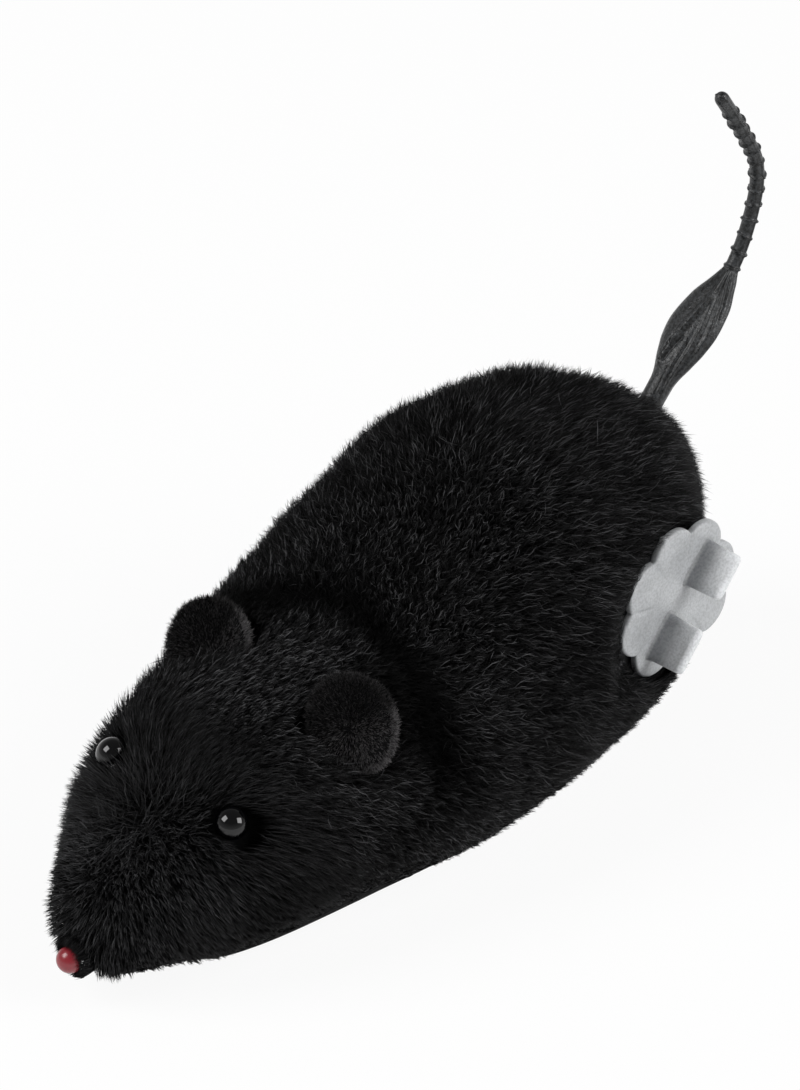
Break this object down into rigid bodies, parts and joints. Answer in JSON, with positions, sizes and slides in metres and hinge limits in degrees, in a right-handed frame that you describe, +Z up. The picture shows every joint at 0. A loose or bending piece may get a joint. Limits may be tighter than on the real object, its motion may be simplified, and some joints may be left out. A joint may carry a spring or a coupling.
{
  "type": "clockwork mouse toy",
  "caption": "Plush mouse on wheels with a wind-up spring motor: lobed winding knob, gear train, driven rear axle, cupped ears, bead eyes and nose, and an upswept ribbed tail.",
  "frame": {"origin": "bottom centre of the bounding box, on the floor under the mouse", "axes": "+Y towards the tail, +X towards the mouse's left side, where the knob is, +Z up"},
  "size_m": [0.0576, 0.1422, 0.0849],
  "materials": {
    "plush": "long pile plush",
    "shell": "moulded",
    "eye": "polished",
    "washer": "moulded",
    "nose": "glossy",
    "tail_rubber": "satin",
    "knob": "milky, slightly translucent",
    "case": "moulded",
    "spring_steel": "blued",
    "steel": "drawn",
    "brass": "stamped",
    "gear_plastic": "acetal",
    "wheel": "moulded",
    "tyre": "matt"
  },
  "bodies": {
    "body": {"fur_cover": "plush", "ear_left": "plush", "ear_right": "plush", "body_shell": "shell", "base_plate": "shell", "eye_left": "eye", "eye_right": "eye", "eye_washer_left": "washer", "eye_washer_right": "washer", "nose_bead": "nose", "tail": "tail_rubber", "case_left": "case", "case_right": "case", "mainspring": "spring_steel", "roller_pin": "steel", "base_screw_1": "steel", "base_screw_2": "steel", "base_screw_3": "steel", "base_screw_4": "steel", "motor_screw_1": "steel", "motor_screw_2": "steel", "case_screw_1": "steel", "case_screw_2": "steel", "case_screw_3": "steel"},
    "winder": {"winding_knob": "knob", "winding_arbor": "steel", "great_gear": "brass"},
    "idler": {"idler_gear": "gear_plastic", "idler_shaft": "steel"},
    "rear_axle": {"rear_axle": "steel", "axle_pinion": "gear_plastic", "wheel_hub_left": "wheel", "wheel_hub_right": "wheel", "tyre_left": "tyre", "tyre_right": "tyre"},
    "front_roller": {"front_roller": "wheel"}
  },
  "joints": [
    {"name": "axle_spin", "type": "hinge", "parent": "body", "child": "rear_axle", "pos_m": [0, 0.01722, 0.01045], "axis": [1, 0, 0], "continuous": true},
    {"name": "knob_turn", "type": "hinge", "parent": "body", "child": "winder", "pos_m": [0, 0.02821, 0.02649], "axis": [1, 0, 0], "continuous": true},
    {"name": "idler_spin", "type": "hinge", "parent": "body", "child": "idler", "pos_m": [0, 0.01786, 0.02042], "axis": [1, 0, 0], "continuous": true},
    {"name": "front_roller_spin", "type": "hinge", "parent": "body", "child": "front_roller", "pos_m": [0, -0.04079, 0.00545], "axis": [1, 0, 0], "continuous": true}
  ],
  "couplings": [
    {"joint": "knob_turn", "follows": "axle_spin", "ratio": 0.14286},
    {"joint": "idler_spin", "follows": "axle_spin", "ratio": -0.42857}
  ]
}
